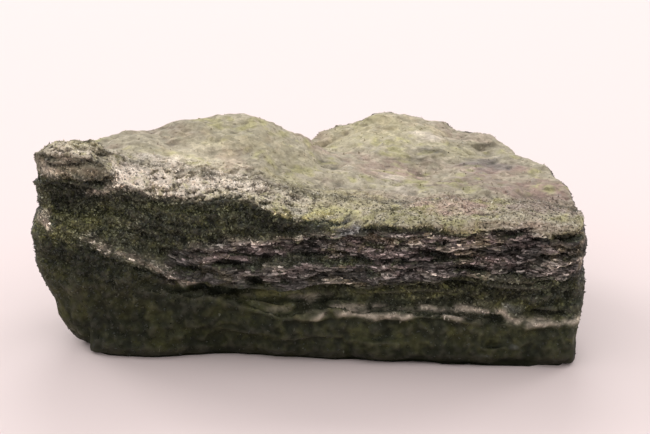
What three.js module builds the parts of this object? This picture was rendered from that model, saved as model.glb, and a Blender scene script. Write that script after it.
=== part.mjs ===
// Rough peridot: a broken block of layered olivine rock, as one closed solid.
// Millimetres, +Z up. +X runs along the block and -Y is the broken face where its beds show.
// The origin is on the ground, under the middle of the block's bounding box.
//
// The block is a box of quads whose wall is wrapped round a plan outline. Each bed is a band of
// that wall with its own height and its own reach, so that the beds' edges are real ledges.

import * as THREE from "three";
import { mergeVertices } from "three/addons/utils/BufferGeometryUtils.js";
import { ImprovedNoise } from "three/addons/math/ImprovedNoise.js";

// ---- Driving dimensions ------------------------------------------------------------------

const LENGTH = 65.4; // along X
const DEPTH = 42; // along Y
const HEIGHT = 25.8; // from the ground to the crown of the knob

const WALL_COLUMNS_X = 42; // quads along the front, and along the back
const WALL_COLUMNS_Y = 22; // quads along each end
const BED_GAP = 0.28; // height of the sharp step between two sheets of rock
const SHEET_BEVEL = 0.12; // how far the foot of a sheet lies behind its upper edge
const BROW_DROP = 0.3; // how far the top edge lies under the top surface beside it
const GROUND_RISE = 7; // height over which the undercut at the ground fades out
const GROUND_EDGE = 0.25; // height of the small slope round the edge of the underside

// Roughness of the broken rock: how far it stands out, and the size of its lumps.
const WALL_LUMPS = { rise: 0.45, size: 7 };
const WALL_GRIT = { rise: 0.22, size: 2.6 };
const TOP_LUMPS = { rise: 0.3, size: 3.4 };
const UNDERSIDE_HOLLOWS = { rise: 0.8, size: 10, floor: 0.25 };
const FLAKE_LENGTH = 8; // length of the runs over which a sheet stands out or is broken back

// ---- Plan outline ------------------------------------------------------------------------

// Corners of the block seen from above, counterclockwise from the front left.
const OUTLINE = [
  [-31.8, -14.4], [-24, -16.1], [-14, -17], [-4, -17.6], [6, -18.3], [17, -18.8], [27, -19.6],
  [31, -19.2], [32.1, -17.2], [31.9, -11], [30.6, -3], [28, 5.6], [24.8, 13.2],
  [21.4, 18.3], [14.5, 20.2], [7, 20.3], [1.5, 18.4],
  [-5, 14.6], [-12, 11.4], [-19.5, 7], [-26, 1],
  [-31.1, -6], [-32.8, -11.2],
];

const outline = new THREE.CatmullRomCurve3(
  OUTLINE.map(([x, y]) => new THREE.Vector3(x, y, 0)),
  true,
  "centripetal",
);
outline.arcLengthDivisions = 1200;
const PERIMETER = outline.getLength();

// A walk is a distance along the outline from its first corner: the front is 0 to 63, the right end
// 63 to 103, the hump at the back 103 to 124, the back left slope 124 to 165, then the knob.

// ---- Top surface -------------------------------------------------------------------------

// Spot heights [x, y, z]. The surface runs smoothly between them.
const SPOT_HEIGHTS = [
  // knob on the front left corner
  [-31.9, -13.4, 24.6], [-29, -12.6, 26.4], [-25.8, -12, 25.7], [-28.5, -9, 24],
  [-31.2, -14.9, 24.8], [-28.6, -15.4, 25.5], [-25.8, -15.6, 25.3], [-23.8, -15.7, 24.4],
  [-23.6, -13, 24.6], [-31.8, -9.8, 22.8], [-30.6, -6.2, 21.2],
  // front edge, from the knob to the right corner
  [-22.2, -16, 21], [-21.8, -13.6, 21.4], [-20.3, -15, 20.6], [-17.7, -15.2, 19.9], [-13, -15.5, 19.6],
  [-9.4, -15.7, 20.1], [-7, -15.8, 19.8], [-4.6, -16, 18.8], [-1.9, -16.4, 17.7],
  [1, -16.8, 16.7], [3.2, -17.2, 16.4], [5, -18, 17.5], [10.5, -18.5, 17.9], [15, -18.6, 17.5],
  [22, -19, 17.9], [27, -19.4, 18.2], [32, -19, 17.4],
  // ridge of the left hump
  [-26.6, -5, 22.2], [-21, -1, 23], [-14.7, 2, 23.4], [-11.6, 3, 23.2],
  [-9, 3.2, 24], [-6.8, 3.2, 23.4], [-4.6, 3.8, 22.5], [-2.2, 5, 20.9],
  // long slope in front of the ridge
  [-21, -8, 22.8], [-15, -8, 22], [-8, -8, 21.3], [-2, -8, 19.2], [3, -8, 17.9], [-9, -2, 23],
  // flat right half
  [10, -8, 17.5], [20, -8, 17.4], [30, -9, 16.9], [10, 0, 17.3], [17, 2, 17], [26, 2, 16.7],
  [21, 11, 16.4], [3, 0, 18],
  // hollow between the humps
  [-0.5, 9, 17], [1.2, 14, 15.8], [3, 8, 16.6],
  // hump at the back
  [5, 18, 17.5], [8.4, 18.8, 19.2], [11.6, 18.8, 19.3], [15, 18.2, 18.5], [19, 17.4, 16.7],
  [10, 12, 18.3], [14, 11, 17.8],
  // pit in front of it
  [13.2, 1.5, 16.1],
];
const SPOT_SHARPNESS = 3.4; // how quickly a spot height stops counting with distance
const SPOT_BLEND = 1.2; // radius over which a spot height is rounded off

// Behind the ridge of the left hump the top is broken away in a steep slope, which starts at this
// upright plane and dies out to the right, where the hollow begins.
const SLOPE_TOP = new THREE.Plane().setFromNormalAndCoplanarPoint(
  new THREE.Vector3(-0.45, 0.89, 0).normalize(),
  new THREE.Vector3(-30, -5, 0),
);
const SLOPE_DROP = 8;
const SLOPE_WIDTH = 7;
const SLOPE_END = 1; // x where the slope has died out

// ---- Beds --------------------------------------------------------------------------------

// From the ground up. `top` is the height of a bed's upper edge and `reach` is how far the bed stands
// out of the outline at its foot, or in from it when negative. `lean` is how much further out its top
// stands. All are [walk, value] pairs. A bed is split into that many thinner `sheets`.
const BEDS = [
  {
    sheets: 2, // sole
    top: [
      [0, 7.6], [14, 8.6], [20, 8.2], [25, 6.8], [29, 5.8], [33, 7.1], [38, 6.3], [46, 6.6],
      [54, 5.6], [63, 5.5], [78, 6.5], [92, 5], [108, 5.6], [124, 6.4], [140, 4.8], [156, 5.6],
      [166, 7],
    ],
    reach: [
      [0, -1], [5, -0.2], [9, 0.3], [16, 0.3], [24, 0.2], [30, 0.7], [37, 0.9], [48, 0.9],
      [56, 0.7], [61, 0.4], [66, -0.4], [84, 0.4], [104, -0.6], [116, 0.4], [134, 1.1],
      [150, 0.6], [160, 0], [166, -1],
    ],
  },
  {
    sheets: 2, // dark bed over the sole
    top: [
      [0, 14.9], [5, 14.3], [9, 13], [14.5, 10.7], [17, 9.7], [28, 9.4], [35, 10.2], [46, 10.6],
      [54, 9.8], [63, 9.6], [78, 10.4], [92, 9.4], [108, 9.4], [124, 9.8], [140, 8.8],
      [156, 10.2], [166, 13.2],
    ],
    reach: [
      [0, -0.8], [5, 0], [9, 0.3], [15, -0.2], [20, -1.4], [28, -1.7], [36, -1], [46, -1],
      [57, -0.8], [62, -0.6], [66, -0.5], [80, -0.6], [96, 0.4], [108, -0.9], [120, 0.3],
      [136, -0.2], [152, 0.7], [160, 0.3], [167, -0.8],
    ],
    lean: [[0, 1.2], [5, 0.3], [9, 0], [158, 0], [167, 1.2]],
  },
  {
    sheets: 3, // the stack that stands out in the middle of the front
    top: [
      [0, 17.7], [7, 18], [10, 17.2], [13, 15], [16.5, 12.4], [24, 12], [30, 12.6], [40, 12.8],
      [50, 13], [55, 13.5], [63, 12.7], [78, 13.3], [92, 12.6], [108, 12.8], [124, 11.6],
      [142, 11], [156, 12.8], [167, 16.2],
    ],
    reach: [
      [0, 0.4], [8, -0.3], [14, -0.6], [17, 0.4], [22, 1.2], [29, 1.5], [35, 0.7], [46, 0.3],
      [58, 0.2], [62, -0.4], [70, -0.4], [84, 0.2], [98, -0.4], [112, 0.5], [128, -0.4],
      [144, 0.4], [158, -0.2], [169, 0.4],
    ],
    lean: [[0, -1.2], [8, -1.5], [14, -1.2], [18, 0], [162, 0], [170, -1.1]],
  },
  {
    sheets: 3, // thin pinkish sheets, and the set-back face left of them
    top: [
      [0, 21], [5, 21.1], [9, 19.8], [13, 19], [17, 18.7], [21, 18.7], [24, 17.6], [27, 16.1],
      [30, 15.2], [34, 15], [36, 15.8], [46, 15.9], [54, 16.5], [60, 15.8], [66, 15.7],
      [92, 15.6], [108, 16], [124, 13.6], [142, 12.6], [152, 13.4], [160, 16.6], [169, 20],
    ],
    reach: [
      [0, -0.8], [6, -1.6], [12, -1.6], [17, -0.7], [20, 0.2], [29, 0.6], [33, 0], [37, -0.3],
      [44, -0.3], [58, -0.1], [66, 0], [82, -0.7], [98, 0.2], [114, -0.4], [130, 0.3],
      [146, -0.3], [160, -0.4], [170, -0.7],
    ],
    lean: [
      [0, 1], [7, 0.6], [10, -0.2], [16, -1.3], [20, -2.3], [28, -2.2], [33, -1.3], [38, -0.2],
      [48, 0], [162, 0], [169, 0.8],
    ],
  },
  {
    sheets: 1, // lip of the top surface; its upper edge is the top surface itself
    top: null,
    reach: [
      [0, -0.5], [3, 0.2], [7, 0.2], [9, -0.6], [12, -1.7], [18, -1.9], [24, -1.6], [29, -1.3], [33, -0.8],
      [36, 0], [50, 0.2], [62, -0.1], [76, 0], [92, 0.2], [108, -0.2], [124, 0.1], [142, -0.6],
      [158, -0.2], [168, -0.6],
    ],
  },
];

// How far the foot of the wall lies in from the outline, or stands out when negative, as
// [walk, value] pairs.
const UNDERCUT = [
  [0, 3.6], [3.5, 2.2], [6.5, -0.8], [9, -1.6], [14, -1], [20, -0.1], [24, -0.2], [28, 0.5],
  [34, -0.3], [38, 0.7], [46, 0.9], [54, 0.3], [61, -0.4], [66, 0.7], [84, 1.2], [104, 0.8],
  [124, 1.4], [142, 0.8], [156, 2], [166, 3.4], [170, 4],
];

// How far single sheets are broken back or stand out on their own, as [walk, value] pairs.
const RAGGED = [
  [0, 0.1], [10, 0.12], [17, 0.3], [24, 0.45], [56, 0.45], [61, 0.15], [76, 0.2], [84, 0.5],
  [100, 0.45], [118, 0.5], [150, 0.45], [164, 0.2],
];

// Ends of the line inside the block that its foot and sheets draw back towards.
const SPINE = new THREE.Line3(new THREE.Vector3(-19, -9, 0), new THREE.Vector3(16, -2, 0));

// ---- Roughness ---------------------------------------------------------------------------

const perlin = new ImprovedNoise();

// Smooth noise from about -1 to 1, with detail halving in size from `size`.
function roughness(x, y, z, size, octaves = 2) {
  let sum = 0;
  for (let octave = 0; octave < octaves; octave++) {
    const k = 2 ** octave / size;
    sum += perlin.noise(x * k + 17.3 * octave, y * k + 5.1, z * k + 9.7) / 2 ** octave;
  }
  return sum * 1.4;
}

// ---- Helpers along the outline -----------------------------------------------------------

// Value at a walk, eased between the [walk, value] pairs. The last pair leads back to the first.
function along(pairs, walk) {
  const w = ((walk % PERIMETER) + PERIMETER) % PERIMETER;
  let next = pairs.findIndex(([at]) => at > w);
  if (next < 0) next = pairs.length;
  const [w0, v0] = pairs[next - 1] ?? pairs[pairs.length - 1];
  const [w1, v1] = next < pairs.length ? pairs[next] : [pairs[0][0] + PERIMETER, pairs[0][1]];
  return THREE.MathUtils.lerp(v0, v1, THREE.MathUtils.smoothstep(w, w0, w1));
}

function topHeight(x, y) {
  let weights = 0;
  let sum = 0;
  for (const [sx, sy, sz] of SPOT_HEIGHTS) {
    const weight = (Math.hypot(x - sx, y - sy) + SPOT_BLEND) ** -SPOT_SHARPNESS;
    weights += weight;
    sum += weight * sz;
  }
  const past = SLOPE_TOP.distanceToPoint(new THREE.Vector3(x, y, 0));
  const near = 1 - THREE.MathUtils.smoothstep(x, SLOPE_END - SLOPE_WIDTH, SLOPE_END);
  return sum / weights - SLOPE_DROP * near * THREE.MathUtils.smoothstep(past, 0, SLOPE_WIDTH);
}

// ---- Wall --------------------------------------------------------------------------------

const COLUMNS = 2 * (WALL_COLUMNS_X + WALL_COLUMNS_Y);
const SHEETS = BEDS.reduce((count, bed) => count + bed.sheets, 0);
const ROWS = 2 * SHEETS - 1; // a lower and an upper edge for each sheet

// A column of wall: for each row its height and how far it lies out of the outline.
function columnProfile(walk, at) {
  const profile = [];
  let foot = 0;
  let sheetNumber = 0;
  for (const bed of BEDS) {
    const brow = bed.top ? along(bed.top, walk) : topHeight(at.x, at.y) - BROW_DROP;
    for (let sheet = 0; sheet < bed.sheets; sheet++) {
      const low = THREE.MathUtils.lerp(foot, brow, sheet / bed.sheets);
      const high = THREE.MathUtils.lerp(foot, brow, (sheet + 1) / bed.sheets);
      const gap = Math.min(BED_GAP, 0.25 * (high - low)) / 2;
      const broken = roughness(at.x, at.y, 40 * sheetNumber, FLAKE_LENGTH);
      const flake = THREE.MathUtils.smoothstep(broken, -0.25, 0.25);
      const lean = (bed.lean ? along(bed.lean, walk) : 0) / bed.sheets;
      const reach = along(bed.reach, walk) + along(RAGGED, walk) * (2 * flake - 1);
      profile.push([low + gap, reach + lean * sheet - SHEET_BEVEL]);
      profile.push([high - gap, reach + lean * (sheet + 1)]);
      sheetNumber++;
    }
    foot = brow;
  }
  const last = profile.length - 1;
  profile[0][0] = GROUND_EDGE;
  profile[last][0] = foot;
  return profile;
}

function undercutAt(walk, z) {
  const fade = Math.max(0, 1 - z / GROUND_RISE);
  return along(UNDERCUT, walk) * fade ** 1.6;
}

// Wall points by column and row, with the roughness of the broken rock.
const wall = [];
for (let column = 0; column < COLUMNS; column++) {
  const u = column / COLUMNS;
  const walk = u * PERIMETER;
  const at = outline.getPointAt(u);
  const inner = SPINE.closestPointToPoint(at, true, new THREE.Vector3());
  const outward = at.clone().sub(inner).normalize();
  wall.push(
    columnProfile(walk, at).map(([z, reach]) => {
      const lumps = WALL_LUMPS.rise * roughness(at.x, at.y, z, WALL_LUMPS.size);
      const grit = WALL_GRIT.rise * roughness(at.x + 50, at.y, z, WALL_GRIT.size, 1);
      const out = reach - undercutAt(walk, z) + lumps + grit;
      return new THREE.Vector3(at.x + outward.x * out, at.y + outward.y * out, z);
    }),
  );
}
for (const column of wall) {
  const edge = column[ROWS];
  edge.z = topHeight(edge.x, edge.y) - BROW_DROP;
}

// ---- Top and underside -------------------------------------------------------------------

// Plan position inside a ring of the wall: the surface patch spanned by its four sides.
function insideRing(row, u, v) {
  const x = Math.round(u * WALL_COLUMNS_X);
  const y = Math.round(v * WALL_COLUMNS_Y);
  const ring = (column) => wall[(column + COLUMNS) % COLUMNS][row];
  const front = ring(x);
  const right = ring(WALL_COLUMNS_X + y);
  const back = ring(2 * WALL_COLUMNS_X + WALL_COLUMNS_Y - x);
  const left = ring(COLUMNS - y);
  const corners = [
    [ring(0), (1 - u) * (1 - v)],
    [ring(WALL_COLUMNS_X), u * (1 - v)],
    [ring(WALL_COLUMNS_X + WALL_COLUMNS_Y), u * v],
    [ring(2 * WALL_COLUMNS_X + WALL_COLUMNS_Y), (1 - u) * v],
  ];
  const point = new THREE.Vector3()
    .addScaledVector(front, 1 - v)
    .addScaledVector(back, v)
    .addScaledVector(left, 1 - u)
    .addScaledVector(right, u);
  for (const [corner, share] of corners) point.addScaledVector(corner, -share);
  return point;
}

function topPoint(u, v) {
  const point = insideRing(ROWS, u, v);
  const lumps = TOP_LUMPS.rise * roughness(point.x, point.y, 3, TOP_LUMPS.size);
  point.z = topHeight(point.x, point.y) + lumps;
  return point;
}

// The underside is a flat cleavage plane with shallow hollows.
function undersidePoint(u, v) {
  const point = insideRing(0, u, v);
  const { rise, size, floor } = UNDERSIDE_HOLLOWS;
  point.z = Math.max(0, rise * roughness(point.x, point.y, 60, size) - floor);
  return point;
}

// ---- Stone -------------------------------------------------------------------------------

function columnOf(u, v) {
  if (v === 0) return u * WALL_COLUMNS_X;
  if (u === 1) return WALL_COLUMNS_X + v * WALL_COLUMNS_Y;
  if (v === 1) return 2 * WALL_COLUMNS_X + WALL_COLUMNS_Y - u * WALL_COLUMNS_X;
  return COLUMNS - v * WALL_COLUMNS_Y;
}

function makeStone() {
  const box = new THREE.BoxGeometry(1, 1, 1, WALL_COLUMNS_X, WALL_COLUMNS_Y, ROWS);
  const position = box.attributes.position;
  const unit = new THREE.Vector3();
  for (let i = 0; i < position.count; i++) {
    unit.fromBufferAttribute(position, i).addScalar(0.5);
    const u = Math.round(unit.x * WALL_COLUMNS_X) / WALL_COLUMNS_X;
    const v = Math.round(unit.y * WALL_COLUMNS_Y) / WALL_COLUMNS_Y;
    const row = Math.round(unit.z * ROWS);
    const onWall = u === 0 || u === 1 || v === 0 || v === 1;
    let point;
    if (onWall) point = wall[Math.round(columnOf(u, v)) % COLUMNS][row];
    else point = row === 0 ? undersidePoint(u, v) : topPoint(u, v);
    position.setXYZ(i, point.x, point.y, point.z);
  }
  box.deleteAttribute("normal");
  box.deleteAttribute("uv");
  const stone = mergeVertices(box, 1e-4);

  stone.computeBoundingBox();
  const { min, max } = stone.boundingBox;
  stone.translate(-(min.x + max.x) / 2, -(min.y + max.y) / 2, -min.z);
  stone.scale(LENGTH / (max.x - min.x), DEPTH / (max.y - min.y), HEIGHT / (max.z - min.z));
  stone.computeVertexNormals();
  return stone;
}

const rock = new THREE.MeshStandardMaterial({ color: 0x4b4c3c, roughness: 0.82, metalness: 0 });
const stone = new THREE.Mesh(makeStone(), rock);
stone.name = "peridot_stone";

const group = new THREE.Group();
group.add(stone);

export default group;
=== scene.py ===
# %% [markdown]
# # A rough peridot
#
# The object is one broken block of layered olivine rock, 65 mm long. The solid from the CAD step
# gives its form: a knob at one corner, two low humps, a stack of beds down the front. This script
# gives it its surface. It works in metres, and `MM` keeps the small sizes readable.

# %% The frame
import math

import bpy
import numpy as np
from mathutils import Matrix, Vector, noise


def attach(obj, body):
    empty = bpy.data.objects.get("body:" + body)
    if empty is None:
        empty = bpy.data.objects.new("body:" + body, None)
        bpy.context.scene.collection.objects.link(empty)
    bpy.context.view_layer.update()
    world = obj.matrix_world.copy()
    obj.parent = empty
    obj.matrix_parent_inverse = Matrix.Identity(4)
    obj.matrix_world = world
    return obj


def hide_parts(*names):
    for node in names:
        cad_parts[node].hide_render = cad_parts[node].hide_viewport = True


MM = 0.001

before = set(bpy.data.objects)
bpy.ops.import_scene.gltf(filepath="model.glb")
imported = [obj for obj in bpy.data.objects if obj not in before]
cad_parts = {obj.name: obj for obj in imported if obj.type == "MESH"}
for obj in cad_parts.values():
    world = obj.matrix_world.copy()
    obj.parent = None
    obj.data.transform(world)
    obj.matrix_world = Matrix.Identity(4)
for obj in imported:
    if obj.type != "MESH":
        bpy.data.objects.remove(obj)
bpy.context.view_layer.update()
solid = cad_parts["peridot_stone"]

# %% [markdown]
# ## Camera
#
# Close-up pictures of stones are taken with a long lens, because it keeps the stone's sides
# parallel. This camera stands 290 mm away, looks down 20 degrees, and aims just in front of the
# middle of the stone.

# %% Camera
AIM = Vector((2.05 * MM, -0.8 * MM, 11.72 * MM))
DISTANCE = 290 * MM
LOOK_DOWN = math.radians(20)
LENS_LENGTH = 129.8

lens = bpy.data.cameras.new("stone_camera")
lens.lens = LENS_LENGTH
lens.clip_start = 10 * MM
camera = bpy.data.objects.new("stone_camera", lens)
back = Vector((0, -math.cos(LOOK_DOWN), math.sin(LOOK_DOWN)))
camera.location = AIM + DISTANCE * back
camera.rotation_euler = back.to_track_quat("Z", "Y").to_euler()
bpy.context.scene.collection.objects.link(camera)
bpy.context.scene.camera = camera
print("camera at", [round(c / MM) for c in camera.location], "mm")

# %% [markdown]
# ## Floor and light
#
# The stone lies on a plain pale floor that fills the picture. It is lit as in a light tent: a
# bright surround on every side, and soft sheets of light behind the stone. The sheets make the top
# bright and leave the broken front in shade, so the stone's shadow falls softly towards the
# camera.

# %% Floor
FLOOR_SIZE = 6.0
FLOOR_COLOUR = (0.80, 0.67, 0.655, 1)
FLOOR_ROUGHNESS = 0.7


def new_object(name, mesh):
    """Links a new object that shows the mesh."""
    thing = bpy.data.objects.new(name, mesh)
    bpy.context.scene.collection.objects.link(thing)
    return thing


half = FLOOR_SIZE / 2
floor_mesh = bpy.data.meshes.new("floor")
corners = [(-half, -half, 0), (half, -half, 0), (half, half, 0), (-half, half, 0)]
floor_mesh.from_pydata(corners, [], [(0, 1, 2, 3)])
floor = new_object("floor", floor_mesh)
floor_paper = bpy.data.materials.new("floor paper")
floor_paper.use_nodes = True
paper = floor_paper.node_tree.nodes["Principled BSDF"]
paper.inputs["Base Color"].default_value = FLOOR_COLOUR
paper.inputs["Roughness"].default_value = FLOOR_ROUGHNESS
floor_mesh.materials.append(floor_paper)

# %% Light
SURROUND = 0.965
SHEET_AWAY = 2.4
SHEET_SIZE = 0.9
# Each sheet's name, its direction from the stone, and its power in watts.
SHEETS = [
    ("sheet at the back left", (-0.45, 0.40, 0.30), 17.7),
    ("sheet at the back right", (0.45, 0.40, 0.30), 9.2),
    ("sheet behind", (0.0, 0.7, 0.5), 10.8),
]


def sheet_of_light(name, towards, power):
    """A square sheet of light in that direction from the stone, turned to face it."""
    way = Vector(towards).normalized()
    data = bpy.data.lights.new(name, "AREA")
    data.shape = "SQUARE"
    data.size = SHEET_SIZE
    data.energy = power
    lamp = bpy.data.objects.new(name, data)
    lamp.location = SHEET_AWAY * way
    lamp.rotation_euler = way.to_track_quat("Z", "Y").to_euler()
    bpy.context.scene.collection.objects.link(lamp)


for name, towards, power in SHEETS:
    sheet_of_light(name, towards, power)

world = bpy.data.worlds.new("surround")
world.use_nodes = True
surround = world.node_tree.nodes["Background"]
surround.inputs["Color"].default_value = (1, 1, 1, 1)
surround.inputs["Strength"].default_value = SURROUND
bpy.context.scene.world = world
bpy.context.scene.view_settings.view_transform = "Standard"
print("light:", len(SHEETS), "sheets and a bright surround")

# %% [markdown]
# ## Skin of the stone
#
# A broken rock has no smooth faces, so its mesh needs small, even cells everywhere before any
# roughness can be pushed into it. Subdividing the solid would keep its long, thin triangles. A
# voxel remesh wraps the solid in even squares instead, whatever its own faces were.

# %% Even mesh over the solid
VOXEL = 0.16 * MM
WELD = 0.001 * MM


def apply_modifiers(thing):
    """Replaces the object's mesh with what its modifiers make of it."""
    graph = bpy.context.evaluated_depsgraph_get()
    made = bpy.data.meshes.new_from_object(thing.evaluated_get(graph))
    thing.modifiers.clear()
    thing.data = made


stone = new_object("peridot_rock", solid.data.copy())
stone.data.materials.clear()
weld = stone.modifiers.new("weld", "WELD")
weld.merge_threshold = WELD
remesh = stone.modifiers.new("even cells", "REMESH")
remesh.mode = "VOXEL"
remesh.voxel_size = VOXEL
apply_modifiers(stone)
print("even mesh:", len(stone.data.polygons), "squares")

# %% [markdown]
# ### Reading and smoothing the mesh
#
# Numpy moves all the points at once. `Skin` holds the points and their neighbours, and can say
# how the surface would lie if it were smoothed: the broad surface gives steady directions to push
# along, and the difference from it says where a point sits on an edge or in a hollow.

# %% Points and neighbours
class Skin:
    """The points of a mesh, with what is needed to smooth them."""

    def __init__(self, mesh):
        self.mesh = mesh
        self.points = self.read(mesh.vertices, "co", 3)
        pairs = np.empty(len(mesh.edges) * 2, int)
        mesh.edges.foreach_get("vertices", pairs)
        self.one, self.other = pairs.reshape(-1, 2).T
        self.count = np.bincount(np.concatenate([self.one, self.other]))

    @staticmethod
    def read(items, key, width):
        """One numpy row for each item."""
        flat = np.empty(len(items) * width)
        items.foreach_get(key, flat)
        return flat.reshape(-1, width)

    def average(self, values):
        """Each point's value, moved half way to the mean of its neighbours."""
        total = np.zeros_like(values)
        for column in range(values.shape[1]):
            total[:, column] = np.bincount(self.one, values[self.other, column], len(values))
            total[:, column] += np.bincount(self.other, values[self.one, column], len(values))
        return (values + total / self.count[:, None]) / 2

    def smooth(self, values, rounds):
        """The values, averaged that many times."""
        for _ in range(rounds):
            values = self.average(values)
        return values

    def write(self):
        """Puts the points back into the mesh."""
        self.mesh.vertices.foreach_set("co", self.points.ravel())
        self.mesh.update()

    def directions(self):
        """The way that the surface faces at each point."""
        return self.read(self.mesh.vertex_normals, "vector", 3)


def unit(vectors):
    """The vectors at length one."""
    return vectors / np.maximum(np.linalg.norm(vectors, axis=1), 1e-12)[:, None]


def ramp(values, low, high):
    """0 below low, 1 above high, and a smooth rise between."""
    part = np.clip((values - low) / (high - low), 0, 1)
    return part * part * (3 - 2 * part)


NOISE_GAIN = 1.6  # the noise alone seldom passes 0.6 either way


def lumps(points, size, seed=0, octaves=1):
    """Noise from about -1 to 1 at each point, in lumps of that size."""
    shift = np.array([3.7, 8.1, 5.3]) * seed
    return np.array([noise.fractal(p, 1.0, 2.0, octaves) for p in points / size + shift]) * NOISE_GAIN


# How often values are averaged: to even out single squares, and to leave only the broad form.
CLOSE_ROUNDS = 6
BROAD_ROUNDS = 40

skin = Skin(stone.data)
skin.points = skin.smooth(skin.points, CLOSE_ROUNDS)
skin.write()
facing = unit(skin.smooth(skin.directions(), BROAD_ROUNDS))
print("points:", len(skin.points))

# %% [markdown]
# ### Beds and sheets
#
# The rock is a stack of beds. They lie flat under the right half and climb towards the knob on
# the left. Every bed is made of thin sheets, and where the front is broken some sheets stand out
# and others have snapped back. So a sheet is a step in the bed height, and noise along the bed
# decides where it stands out. Each sheet leans out towards its upper edge: the edge catches the
# light, and the foot of the next sheet lies in its shade.

# %% Bed height
BED_CLIMB = 0.31
CLIMB_FROM = -14 * MM


def bed_height(points):
    """Height counted across the beds, which climb towards the knob and wave a little."""
    climb = BED_CLIMB * np.maximum(0, CLIMB_FROM - points[:, 0])
    wave = 0.55 * MM * lumps(points * (1, 1, 0.4), 8 * MM, seed=2)
    wave += 0.16 * MM * lumps(points * (1, 1, 0.7), 2.4 * MM, seed=5)
    return points[:, 2] - climb + wave


def sheets(points, thickness, run, seed):
    """From 0 to 1: how far the sheet at each point stands out of the broken face."""
    crumple = 0.3 * lumps(points, 4 * thickness, seed=seed)
    level = bed_height(points) / thickness + crumple
    sheet = np.floor(level)
    part = level - sheet
    spread = np.column_stack([points[:, 0] / run, points[:, 1] / run, sheet * 1.37 + seed])
    stands = ramp(lumps(spread, 1, octaves=2), -0.35, 0.35)
    lip = ramp(part, 0.0, 0.75) * (1 - ramp(part, 0.88, 1))
    return stands * (0.3 + 0.7 * lip)


# %% [markdown]
# ### Regions of the surface
#
# Each side of the stone broke in its own way. The top is a weathered cleavage face, fairly even,
# with low terraces. The front is a stack of thin sheets between two drawn lines, with a set-back
# grainy face at its upper left, and a smooth dark block along its foot. The back and the ends
# broke like the stack. Low down the stone is worn, and high up its breaks are still crisp.
#
# These regions could be painted by hand, but paint has to be done again when the solid changes.
# So the lines between them are drawn as (x, height) pairs, and each region is worked out from the
# lines, from the place of a point, and from the way that the surface faces there.

# %% Drawn lines on the front
def line(stops, x):
    """Height of a drawn line at each x. The stops are (x, height) pairs in millimetres."""
    across, up = np.array(stops).T * MM
    return np.interp(x, across, up)


# Where the top begins.
BROW = [(-33, 24.6), (-24.2, 24.4), (-22.6, 22.6), (-21.8, 21.2), (-20.1, 20.6), (-17.4, 19.8), (-12.5, 19.7),
        (-9.6, 20.3), (-7.2, 20), (-4.4, 18.8), (-2.6, 18.2), (-0.9, 17.8), (1.1, 17.8), (3.9, 17.3),
        (6.5, 17.3), (8.4, 17.8), (13.5, 17.9), (15.4, 17.3), (18, 17), (22.3, 17), (25.6, 17.5),
        (26.6, 17.1), (28.3, 16.1), (29.8, 17), (33, 17)]
# The sheets of the knob.
KNOB_LINES = [
    [(-31, 24.9), (-29.6, 25.1), (-28, 25.2), (-26.3, 24.9), (-24, 24.7)],
    [(-31, 24.2), (-29.6, 24.3), (-28, 24.4), (-26.3, 24.5), (-24, 24.1)],
]
# The bench at the left, which slopes down to the stack.
BENCH = [(-31, 15.4), (-29, 15.1), (-26.8, 14.6), (-24.3, 14), (-22, 13.3), (-19.7, 12.2), (-17.9, 11.4),
         (-16.6, 10.9), (-15, 9.8)]
# The two edges of the stack, and two beds that stand out of it.
STACK_TOP = [(-17, 12.2), (-15.8, 12.9), (-12.6, 14), (-9.8, 14.6), (-4.6, 15), (-0.9, 15.2),
             (2.5, 16.4), (6, 17.6)]
STACK_FOOT = [(-16, 9.1), (-13.3, 9), (-11, 10), (-8.4, 10.2), (-4.3, 10.1), (-0.9, 9.7), (3.8, 9.6),
              (10.8, 10), (16.6, 10.6), (22.3, 11.5), (33, 11.2)]
KHAKI_BED = [(3, 15.6), (7, 15.3), (10.5, 15.4), (16, 15.1)]
PALE_LEDGE = [(16, 13.5), (20, 13.4), (24, 13.3), (28, 12.9), (33, 13.1)]
# The top of the low block.
LOW_RIDGE = [(-10.1, 7.7), (-6.8, 6.9), (-2.7, 6.1), (0.3, 6), (3.1, 6.7), (6.2, 6.3), (9.7, 6.3),
             (13.2, 6.6), (16.2, 6.6), (19.1, 6.4), (21.3, 6.2), (22.6, 6.4), (24.3, 5.8), (25.5, 5.5),
             (28.3, 5.7), (29.4, 5.2), (30.4, 5.5), (33, 6)]


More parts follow.
